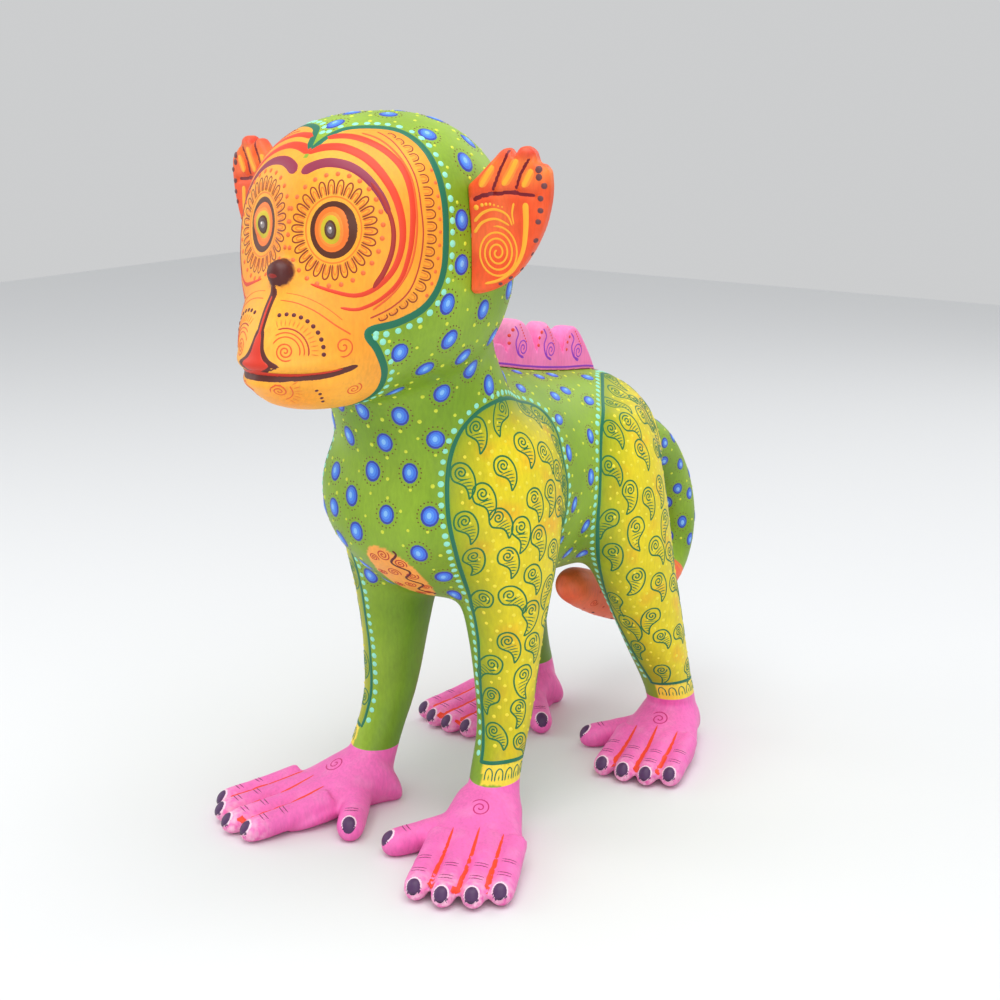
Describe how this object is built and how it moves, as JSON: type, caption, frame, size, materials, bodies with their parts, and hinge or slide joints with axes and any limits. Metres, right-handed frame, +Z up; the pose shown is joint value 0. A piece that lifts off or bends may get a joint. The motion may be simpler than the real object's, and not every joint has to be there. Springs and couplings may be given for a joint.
{
  "type": "carved monkey figurine",
  "caption": "Hand-painted carved wooden monkey standing on all fours, with pull-off ears and a curled pull-off tail and a toothed crest along its back.",
  "frame": {"origin": "on the table under the middle of the figure's box", "axes": "+Z up, -Y the way the monkey faces, +X its left side"},
  "size_m": [0.1462, 0.293, 0.2798],
  "materials": {
    "green_paint": "acrylic paint over smoothed copal wood",
    "orange_paint": "acrylic paint over carved copal wood",
    "pink_paint": "acrylic paint over carved copal wood",
    "copal_wood": "bare whittled wood"
  },
  "bodies": {
    "figure": {"torso": "green_paint", "head": "green_paint", "foreleg_left": "green_paint", "foreleg_right": "green_paint", "hindleg_left": "green_paint", "hindleg_right": "green_paint", "crest": "pink_paint", "crest_pin_front": "copal_wood", "crest_pin_rear": "copal_wood", "neck_dowel": "copal_wood", "foreleg_left_dowel": "copal_wood", "foreleg_right_dowel": "copal_wood", "hindleg_left_dowel": "copal_wood", "hindleg_right_dowel": "copal_wood"},
    "ear_left_body": {"ear_left": "orange_paint", "ear_peg_left": "copal_wood"},
    "ear_right_body": {"ear_right": "orange_paint", "ear_peg_right": "copal_wood"},
    "tail_body": {"tail": "green_paint", "tail_peg": "copal_wood"}
  },
  "joints": [
    {"name": "ear_left_pull", "type": "slide", "parent": "figure", "child": "ear_left_body", "axis": [0.9781, 0.2079, 0], "range_m": [0, 0.025]},
    {"name": "ear_right_pull", "type": "slide", "parent": "figure", "child": "ear_right_body", "axis": [-0.9781, 0.2079, 0], "range_m": [0, 0.025]},
    {"name": "tail_pull", "type": "slide", "parent": "figure", "child": "tail_body", "axis": [0, 1, 0], "range_m": [0, 0.03]}
  ]
}
